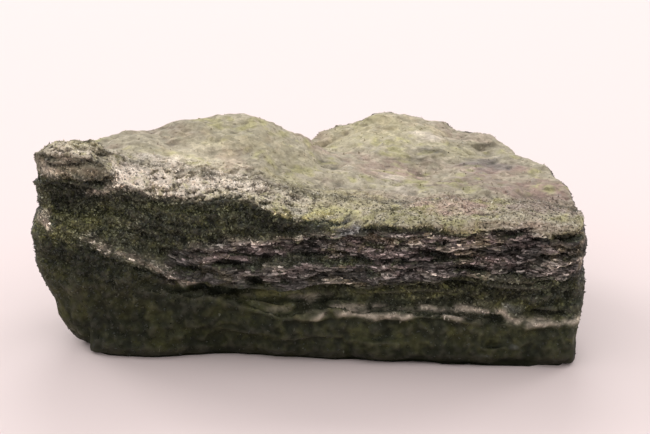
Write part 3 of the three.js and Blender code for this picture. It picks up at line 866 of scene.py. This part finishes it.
# Painted shade for the hollows, kept weaker where light is painted.
note(stone.data, "hollow_shade", hollow_shade * (0.6 + 0.4 * regions.crisp) * (1 - 0.85 * patches["light"]))
note(stone.data, "edge", edge * (0.5 + 0.5 * regions.crisp))
print("masks:", ", ".join(f"{name} {values.mean():.2f}" for name, values in MASKS.items()))

# %% [markdown]
# ## Colour of the rock
#
# The skin, the crystals and the plates are all the same rock, so one node group gives all three
# their colour from the masks: dark green where it is broken, pinkish grey in the sheets, khaki
# where it is weathered. A group is built once and placed in each material, so a change to the
# rock's colour reaches all of them. Each material then adds its own grain and gloss to it.

# %% Node helpers
def node(tree, kind, inputs=None, **settings):
    """Adds a node with its settings, and fills or links its inputs."""
    made = tree.nodes.new(kind)
    for key, value in settings.items():
        setattr(made, key, value)
    for key, value in (inputs or {}).items():
        if isinstance(value, bpy.types.NodeSocket):
            tree.links.new(value, made.inputs[key])
        else:
            made.inputs[key].default_value = value
    return made


def mix(tree, share, low, high, blend="MIX"):
    """The colour low, turning to high as share goes from 0 to 1."""
    low = low if isinstance(low, bpy.types.NodeSocket) else (*low, 1)
    high = high if isinstance(high, bpy.types.NodeSocket) else (*high, 1)
    made = node(tree, "ShaderNodeMix", {0: share, 6: low, 7: high}, data_type="RGBA", blend_type=blend)
    return made.outputs[2]


def scaled(tree, value, low, high, to_low, to_high):
    """A value mapped from one range to another."""
    made = node(tree, "ShaderNodeMapRange", {0: value, 1: low, 2: high, 3: to_low, 4: to_high})
    return made.outputs[0]


def mask(tree, name):
    """A number kept in the mesh."""
    return node(tree, "ShaderNodeAttribute", attribute_name=name).outputs["Fac"]


def times(tree, one, other):
    """Two values multiplied."""
    return node(tree, "ShaderNodeMath", {0: one, 1: other}, operation="MULTIPLY").outputs[0]


def tinted(tree, colour, tint):
    """A colour multiplied by a tint, which is a colour or three numbers."""
    return mix(tree, 1.0, colour, tint, "MULTIPLY")


def greys(tree, value, tones):
    """A ramp of greys over a value. Tones are (position, grey) pairs, in order."""
    made = node(tree, "ShaderNodeValToRGB", {0: value})
    elements = made.color_ramp.elements
    for _ in tones[2:]:
        elements.new(1.0)
    for element, (position, tone) in zip(elements, tones):
        element.position = position
        element.color = (tone, tone, tone, 1)
    return made.outputs[0]


def new_group(name, inputs, outputs):
    """A shader node group with those sockets. Each is a (name, socket type) pair."""
    group = bpy.data.node_groups.new(name, "ShaderNodeTree")
    for label, kind in inputs:
        group.interface.new_socket(label, in_out="INPUT", socket_type=kind)
    for label, kind in outputs:
        group.interface.new_socket(label, in_out="OUTPUT", socket_type=kind)
    return group, group.nodes.new("NodeGroupInput"), group.nodes.new("NodeGroupOutput")


# %% Group: rock colour
BROKEN = (0.037, 0.039, 0.023)
FLAKY = (0.082, 0.069, 0.062)
GREY_BROKEN = (0.13, 0.13, 0.128)
GREY_WEATHERED = (0.26, 0.235, 0.215)
WEATHERED = (0.40, 0.347, 0.255)
PALE_BROKEN = (0.28, 0.24, 0.205)
PALE_WEATHERED = (0.64, 0.55, 0.465)
FLOAT = "NodeSocketFloat"
COLOUR_MASKS = ("Top", "Sheeted", "Light", "Shade", "Olive", "Pink", "Pale", "Grey")

rock_colour, given, put_out = new_group(
    "rock colour", [(name, FLOAT) for name in COLOUR_MASKS], [("Color", "NodeSocketColor")]
)
top, sheeted, light, shade, olive, pink, pale, grey = (given.outputs[name] for name in COLOUR_MASKS)


def by_side(sides, weathered_top):
    """One colour on the sides, and another on top."""
    return mix(rock_colour, top, sides, weathered_top)


def tint_where(share, tint):
    """The colour so far, multiplied by a tint where share is high."""
    return mix(rock_colour, share, colour, tinted(rock_colour, colour, tint))


colour = mix(rock_colour, sheeted, BROKEN, FLAKY)
colour = by_side(colour, WEATHERED)
colour = tint_where(olive, by_side((1.5, 1.42, 0.95), (0.98, 1.03, 0.66)))
colour = tint_where(pink, by_side((1.3, 1.08, 1.2), (0.99, 0.80, 0.89)))
colour = mix(rock_colour, grey, colour, by_side(GREY_BROKEN, GREY_WEATHERED))
colour = mix(rock_colour, pale, colour, by_side(PALE_BROKEN, PALE_WEATHERED))
# Light and shade tint the colour as painted light and painted shade, together with the rock's own lighter and
# darker places.
colour = tint_where(light, by_side((2.4, 2.3, 2.2), (1.35, 1.35, 1.35)))
colour = tint_where(shade, by_side((0.26, 0.28, 0.24), (0.24, 0.23, 0.24)))
rock_colour.links.new(colour, put_out.inputs["Color"])


def coloured(tree):
    """The rock colour group, fed with the mesh's masks."""
    group = node(tree, "ShaderNodeGroup", node_tree=rock_colour)
    for name in COLOUR_MASKS:
        tree.links.new(mask(tree, name.lower()), group.inputs[name])
    return group.outputs["Color"]


# %% [markdown]
# ### Grain
#
# The rock is a pack of small dark and pale grains. A Voronoi texture gives each cell one random
# tone, and the distance to the cell's middle gives a height, so the same cells make the colour
# and the bump. A little noise bends the cells, because their own sides are too straight. The group
# is used by every material at its own grain size.

# %% Group: grain
BEND_SIZE = 0.5 * MM
BEND_REACH = 0.25 * MM

grain, given, put_out = new_group(
    "grain", [("Size", FLOAT)], [("Tone", FLOAT), ("Other Tone", FLOAT), ("Height", FLOAT)]
)
place = node(grain, "ShaderNodeTexCoord").outputs["Object"]
per_metre = node(grain, "ShaderNodeMath", {0: 1.0, 1: given.outputs["Size"]}, operation="DIVIDE")
bend = node(grain, "ShaderNodeTexNoise", {"Vector": place, "Scale": 1 / BEND_SIZE, "Detail": 1.0})
either_way = {0: bend.outputs["Color"], 1: (0.5, 0.5, 0.5)}
shift = node(grain, "ShaderNodeVectorMath", either_way, operation="SUBTRACT").outputs[0]
shift = node(grain, "ShaderNodeVectorMath", {0: shift, "Scale": BEND_REACH}, operation="SCALE").outputs[0]
bent = node(grain, "ShaderNodeVectorMath", {0: place, 1: shift}).outputs[0]
cells = node(grain, "ShaderNodeTexVoronoi", {"Vector": bent, "Scale": per_metre.outputs[0]})
tones = node(grain, "ShaderNodeSeparateColor", {0: cells.outputs["Color"]})
grain.links.new(tones.outputs[0], put_out.inputs["Tone"])
grain.links.new(tones.outputs[1], put_out.inputs["Other Tone"])
grain.links.new(cells.outputs["Distance"], put_out.inputs["Height"])


def grained(tree, size):
    """The grain group at that grain size."""
    return node(tree, "ShaderNodeGroup", {"Size": size}, node_tree=grain).outputs


# %% [markdown]
# ### Material of the skin
#
# On the broken sides a few pale grains stand among dark ones, and on the weathered top the grains
# are nearly alike, with some dark pits. So each has its own ramp of greys over the grain's tone.
# Where the rock is worn smooth the grain almost vanishes. The greys multiply the rock's colour, and
# half grey should leave it as it is, so there is one doubling for each ramp. At last painted shade
# darkens the slots and hollows, and the worn edges are made paler.

# %% Material: skin of the rock
# Colour of the painted shade in the slots and hollows.
SLOT_SHADE = (0.010, 0.010, 0.007)
WORN_EDGE = (0.19, 0.17, 0.135)
SKIN_GLOSS = 0.12
FINE_GRAIN = 0.26 * MM
COARSE_GRAIN = 0.7 * MM
BUMP_DEPTH = 0.08 * MM


def doubled(tree, colour, times_over):
    """The colour, doubled that many times."""
    return tinted(tree, colour, (2.0**times_over,) * 3)


rock = bpy.data.materials.new("peridot rock")
rock.use_nodes = True
tree = rock.node_tree
shader = tree.nodes["Principled BSDF"]
fine = grained(tree, FINE_GRAIN)
coarse = grained(tree, COARSE_GRAIN)
crisp = mask(tree, "crisp")

side_grain = greys(tree, fine["Tone"], [(0, 0.09), (0.45, 0.26), (0.8, 0.5), (1.0, 1.2)])
top_grain = greys(tree, fine["Tone"], [(0, 0.10), (0.16, 0.34), (0.3, 0.5), (1.0, 0.66)])
soft_grain = greys(tree, fine["Tone"], [(0, 0.42), (0.5, 0.5), (1.0, 0.57)])
coarse_grain = greys(tree, coarse["Tone"], [(0, 0.42), (0.6, 0.5), (1.0, 0.62)])
speck = mix(tree, mask(tree, "top"), side_grain, top_grain)
speck = tinted(tree, mix(tree, crisp, soft_grain, speck), coarse_grain)
colour = tinted(tree, coloured(tree), doubled(tree, speck, 2))
# Painted shade: the hollows and slots are darkened.
colour = mix(tree, times(tree, mask(tree, "hollow_shade"), 0.8), colour, SLOT_SHADE)
colour = mix(tree, times(tree, mask(tree, "edge"), 0.22), colour, WORN_EDGE)
tree.links.new(colour, shader.inputs["Base Color"])
tree.links.new(scaled(tree, coarse["Other Tone"], 0, 1, 0.5, 0.9), shader.inputs["Roughness"])
shader.inputs["Specular IOR Level"].default_value = SKIN_GLOSS
strength = scaled(tree, crisp, 0, 1, 0.25, 0.8)
bump = node(
    tree, "ShaderNodeBump", {"Height": fine["Height"], "Strength": strength, "Distance": BUMP_DEPTH}
)
tree.links.new(bump.outputs[0], shader.inputs["Normal"])
stone.data.materials.append(rock)

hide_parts("peridot_stone")
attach(stone, "root")

# %% [markdown]
# ## Crystals
#
# From a step away the broken rock glitters, because its grains are small crystals with flat
# faces. A bump map can't give those sharp glints, and a particle system's copies are lost when the
# model is exported. So each grain is a small eight-faced solid, sunk just over half way into the
# skin, and numpy builds thousands of them as one mesh. There are three meshes: dark crystals on
# the broken front, the same on the broken back and ends, and pale ones on the weathered top.

# %% Places on the skin
OFF_FLOOR = 0.01 * MM


class Ground:
    """Chooses places on the stone's skin, by the area of its faces and a mask."""

    def __init__(self, mesh):
        mesh.calc_loop_triangles()
        corners = np.empty(len(mesh.loop_triangles) * 3, int)
        mesh.loop_triangles.foreach_get("vertices", corners)
        self.corners = corners.reshape(-1, 3)
        self.points = Skin.read(mesh.vertices, "co", 3)
        self.directions = Skin.read(mesh.vertex_normals, "vector", 3)
        a, b, c = (self.points[self.corners[:, i]] for i in range(3))
        self.areas = np.linalg.norm(np.cross(b - a, c - a), axis=1) / 2

    def choose(self, count, density, rng):
        """That many places, denser where density (one value per point) is high."""
        weight = self.areas * density[self.corners].mean(axis=1)
        chosen = self.corners[rng.choice(len(weight), size=count, p=weight / weight.sum())]
        share = rng.dirichlet((1, 1, 1), count)[:, :, None]
        places = (self.points[chosen] * share).sum(axis=1)
        outwards = unit((self.directions[chosen] * share).sum(axis=1))
        masks = {name: values[chosen[:, 0]] for name, values in MASKS.items()}
        return places, outwards, masks


def turns(count, rng):
    """Random rotation matrices."""
    w, i, j, k = unit(rng.normal(size=(count, 4))).T
    rows = [
        [1 - 2 * (j * j + k * k), 2 * (i * j - k * w), 2 * (i * k + j * w)],
        [2 * (i * j + k * w), 1 - 2 * (i * i + k * k), 2 * (j * k - i * w)],
        [2 * (i * k - j * w), 2 * (j * k + i * w), 1 - 2 * (i * i + j * j)],
    ]
    return np.moveaxis(np.array(rows), 2, 0)


def many(name, forms, faces, masks, material, rng):
    """Makes one mesh of many small closed forms, each with its tone and the masks of its place."""
    count, size = forms.shape[:2]
    points = forms.reshape(-1, 3)
    points[:, 2] = np.maximum(points[:, 2], OFF_FLOOR)
    all_faces = [tuple(size * i + corner for corner in face) for i in range(count) for face in faces]
    mesh = bpy.data.meshes.new(name)
    mesh.from_pydata(points, [], all_faces)
    note(mesh, "tone", np.repeat(rng.uniform(0, 1, count), size))
    for mask_name, values in masks.items():
        note(mesh, mask_name, np.repeat(values, size))
    mesh.materials.append(material)
    mesh.calc_loop_triangles()
    thing = new_object(name, mesh)
    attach(thing, "root")
    print(name + ":", count, "pieces,", len(mesh.loop_triangles), "triangles")


# %% Crystal form
TIPS = np.array([[1, 0, 0], [-1, 0, 0], [0, 1, 0], [0, -1, 0], [0, 0, 1], [0, 0, -1]], float)
SIDES = [(0, 2, 4), (2, 1, 4), (1, 3, 4), (3, 0, 4), (2, 0, 5), (1, 2, 5), (3, 1, 5), (0, 3, 5)]
LONG_WAY = np.array([1, 1, 2])
CRYSTAL_SINK = 0.15


def crystals(places, outwards, radius_range, rng):
    """Corner points of eight-faced crystals, turned at random and sunk into the skin."""
    count = len(places)
    radii = rng.uniform(*radius_range, count)
    stretch = rng.uniform(0.5, 1.1, (count, 1, 3))
    stretch = stretch * LONG_WAY ** rng.uniform(0, 1.4, (count, 1, 1))
    tips = TIPS * radii[:, None, None] * stretch
    tips = tips * rng.uniform(0.7, 1.3, (count, 6, 1))
    tips = np.einsum("nij,nkj->nki", turns(count, rng), tips)
    middles = places - outwards * (radii * CRYSTAL_SINK)[:, None]
    return tips + middles[:, None, :]


# %% [markdown]
# ### Material of the grains
#
# The crystals and the plates take the rock's colour from where they sit, and each piece is made
# darker or lighter by its own tone. The lightest are also greyer, as clear grains are. Where the
# rock is worn they all come closer to the middle tone. That tone is an eighth, and the fine grain
# lies about a half, so the colour is doubled four times. Only the ramps and the gloss differ between
# the kinds, so one function makes all three materials.

# %% Material of the grains
MIDDLE_TONE = 0.125
GREYER = 0.75
TINY_GRAIN = 0.12 * MM


def grain_material(name, side_tones, top_tones, roughness, gloss):
    """A glossy mineral: the rock colour of its place, made darker or lighter by its tone."""
    material = bpy.data.materials.new(name)
    material.use_nodes = True
    tree = material.node_tree
    shader = tree.nodes["Principled BSDF"]
    tone = mask(tree, "tone")
    fine = grained(tree, TINY_GRAIN)

    by_tone = mix(tree, mask(tree, "top"), greys(tree, tone, side_tones), greys(tree, tone, top_tones))
    full = scaled(tree, mask(tree, "crisp"), 0, 1, 0.3, 1.0)
    by_tone = mix(tree, full, (MIDDLE_TONE,) * 3, by_tone)
    by_grain = doubled(tree, greys(tree, fine["Tone"], [(0, 0.35), (1.0, 0.65)]), 4)
    plain = coloured(tree)
    greyer = node(tree, "ShaderNodeHueSaturation", {"Color": plain, "Saturation": GREYER}).outputs[0]
    colour = mix(tree, scaled(tree, tone, 0.5, 1.0, 0, 1), plain, greyer)
    colour = tinted(tree, tinted(tree, colour, by_tone), by_grain)
    tree.links.new(colour, shader.inputs["Base Color"])
    rough = scaled(tree, fine["Other Tone"], 0, 1, roughness, roughness + 0.2)
    tree.links.new(rough, shader.inputs["Roughness"])
    shader.inputs["Specular IOR Level"].default_value = gloss
    return material


# %% Crystals on the broken sides
SIDE_CRYSTALS = 22_000
SIDE_RADII = (0.08 * MM, 0.18 * MM)

rng = np.random.default_rng(11)
ground = Ground(stone.data)
off_ground = ramp(z, 0.3 * MM, 0.8 * MM) * (1 - ramp(-facing[:, 2], 0.6, 0.9))

side_mineral = grain_material(
    "olive crystal",
    side_tones=[(0, 0.02), (0.45, 0.08), (0.75, 0.18), (0.93, 0.3), (1.0, 0.5)],
    top_tones=[(0, 0.03), (0.2, 0.08), (0.35, 0.13), (1.0, 0.2)],
    roughness=0.25,
    gloss=0.4,
)
under_stack = regions.front * (1 - ramp(z - line(STACK_FOOT, x), -0.3 * MM, 0.3 * MM))
under_stack *= ramp(x, -16 * MM, -12 * MM)
sparse = most(regions.sheeted, regions.knob, under_stack)
density = (1 - regions.top) * off_ground * (1 - 0.6 * sparse)
density *= (1 - 0.85 * patches["pale"]) * (0.1 + 0.9 * regions.crisp)
front_density = density * (1 - 0.6 * regions.end_wall) * (1 - regions.back_walls)
back_density = density * regions.back_walls
for name, here in (("side_crystals", front_density), ("back_crystals", back_density)):
    places, outwards, masks = ground.choose(SIDE_CRYSTALS, here, rng)
    forms = crystals(places, outwards, SIDE_RADII, rng)
    many(name, forms, SIDES, masks, side_mineral, rng)

# %% Crystals on the weathered top
TOP_CRYSTALS = 9_000
TOP_RADII = (0.08 * MM, 0.19 * MM)

top_mineral = grain_material(
    "pale crystal",
    side_tones=[(0, 0.03), (0.45, 0.09), (0.75, 0.2), (1.0, 0.6)],
    top_tones=[(0, 0.02), (0.15, 0.05), (0.26, 0.11), (0.8, 0.15), (1.0, 0.19)],
    roughness=0.45,
    gloss=0.2,
)
density = regions.top * (0.05 + 0.95 * regions.crisp)
places, outwards, masks = ground.choose(TOP_CRYSTALS, density, rng)
forms = crystals(places, outwards, TOP_RADII, rng)
many("top_crystals", forms, SIDES, masks, top_mineral, rng)

# %% [markdown]
# ## Plates
#
# The sheets in the stack end in thin broken plates that lie along the beds. Noise pushed into the
# skin can't overhang, so the plates are small solids too: a six-sided slab with an uneven
# outline, laid along the bed and stuck into the face by about two thirds.

# %% Plates along the beds
PLATES = 9_500
PLATE_SIDES = 6
PLATE_SINK = 0.25
# Least and most, in millimetres.
PLATE_REACH = (0.16, 0.46)
PLATE_HALF_THICK = (0.035, 0.10)

# The first ring of corners is the lower face, and the second ring the upper face.
PLATE_FACES = [tuple(range(PLATE_SIDES)), tuple(reversed(range(PLATE_SIDES, 2 * PLATE_SIDES)))]
for i in range(PLATE_SIDES):
    after = (i + 1) % PLATE_SIDES
    PLATE_FACES.append((i, PLATE_SIDES + i, PLATE_SIDES + after, after))


def plates(places, outwards, rng):
    """Corner points of thin broken plates that lie along the beds."""
    count = len(places)
    climb = np.where(places[:, 0] < CLIMB_FROM, BED_CLIMB, 0)
    up = unit(np.column_stack([climb, np.zeros(count), np.ones(count)]) + rng.normal(0, 0.13, (count, 3)))
    out = unit(outwards - up * np.einsum("ij,ij->i", outwards, up)[:, None])
    side = np.cross(up, out)
    angles = np.arange(PLATE_SIDES) + rng.uniform(-0.35, 0.35, (count, PLATE_SIDES))
    angles = angles * (math.tau / PLATE_SIDES)
    reach = rng.uniform(*PLATE_REACH, count)[:, None] * MM
    reach = reach * rng.uniform(0.6, 1.2, (count, PLATE_SIDES))
    deep = np.cos(angles) * reach * 0.75
    wide = np.sin(angles) * reach * 1.25
    rim = deep[:, :, None] * out[:, None, :] + wide[:, :, None] * side[:, None, :]
    half_thick = rng.uniform(*PLATE_HALF_THICK, count)[:, None, None] * MM * up[:, None, :]
    middles = (places - out * (PLATE_SINK * reach.mean(axis=1))[:, None])[:, None, :]
    return np.concatenate([middles + rim - half_thick, middles + 0.9 * rim + half_thick], axis=1)


plate_mineral = grain_material(
    "flaky mineral",
    side_tones=[(0, 0.02), (0.4, 0.07), (0.8, 0.2), (1.0, 0.5)],
    top_tones=[(0, 0.05), (1.0, 0.16)],
    roughness=0.35,
    gloss=0.25,
)
on_bench = streak(BENCH, -27, -14, 0.7 * MM)
density = regions.sheeted * (0.05 + edge**1.3) * (1 - patches["grey"]) + 0.25 * on_bench
density *= off_ground * (1 - ramp(np.abs(facing[:, 0]), 0.3, 0.6))
places, outwards, masks = ground.choose(PLATES, density, rng)
many("bed_plates", plates(places, outwards, rng), PLATE_FACES, masks, plate_mineral, rng)
